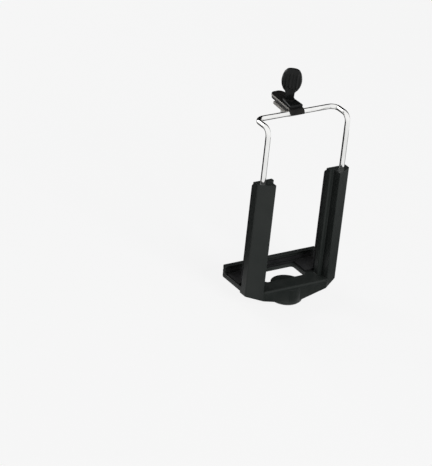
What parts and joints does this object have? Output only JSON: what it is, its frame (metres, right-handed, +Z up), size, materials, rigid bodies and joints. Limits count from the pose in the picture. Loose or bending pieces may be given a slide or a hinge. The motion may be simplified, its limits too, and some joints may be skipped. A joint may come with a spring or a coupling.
{
  "type": "tripod phone holder",
  "caption": "Black U-shaped phone holder for a tripod, with a spring-loaded chrome wire bail and a small clamp with a thumb knob.",
  "frame": {"origin": "on the axis of the tripod thread, in the flat bottom face of the boss", "axes": "+X across the holder along the phone's long side, +Y from the arms towards the lip and the phone's screen, +Z up along the arms and the bail's travel"},
  "size_m": [0.0504, 0.0345, 0.1115],
  "materials": {
    "body_plastic": "fine grained black moulding",
    "knob_plastic": "satin black moulding",
    "bail_chrome": "bright chrome plated wire",
    "spring_steel": "drawn spring wire",
    "insert_brass": "turned brass",
    "foam_pad": "closed cell foam rubber",
    "strip_steel": "black coated steel strip",
    "screw_steel": "zinc plated steel",
    "jaw_rubber": "soft rubber"
  },
  "bodies": {
    "base": {"body_frame": "body_plastic", "thread_insert": "insert_brass", "left_bore_plug": "body_plastic", "right_bore_plug": "body_plastic", "left_arm_pad": "foam_pad", "right_arm_pad": "foam_pad", "tray_pad": "foam_pad", "lip_pad": "foam_pad"},
    "bail": {"wire_bail": "bail_chrome", "left_end_stop": "screw_steel", "right_end_stop": "screw_steel", "left_spring": "spring_steel", "right_spring": "spring_steel"},
    "clip": {"upper_jaw": "strip_steel", "jaw_liner": "jaw_rubber", "saddle_block": "knob_plastic", "knob_washer": "strip_steel"},
    "jaw": {"lower_jaw": "strip_steel", "clamp_nut": "screw_steel"},
    "knob": {"thumb_knob": "knob_plastic", "clamp_screw": "screw_steel"}
  },
  "joints": [
    {"name": "bail_slide", "type": "slide", "parent": "base", "child": "bail", "axis": [0, 0, 1], "range_m": [-0.023, 0.003], "deforming": ["left_spring", "right_spring"]},
    {"name": "clip_tilt", "type": "hinge", "parent": "bail", "child": "clip", "pos_m": [0, 0.0092, 0.092], "axis": [1, 0, 0], "continuous": true},
    {"name": "knob_turn", "type": "hinge", "parent": "clip", "child": "knob", "pos_m": [0, 0.01599, 0.09241], "axis": [0, -0.061, 0.9981], "range_deg": [0, 720]},
    {"name": "jaw_open", "type": "slide", "parent": "clip", "child": "jaw", "axis": [0, -0.061, 0.9981], "range_m": [-0.001, 0]}
  ],
  "couplings": [
    {"joint": "knob_turn", "follows": "jaw_open", "rad_per_m": -12566}
  ]
}
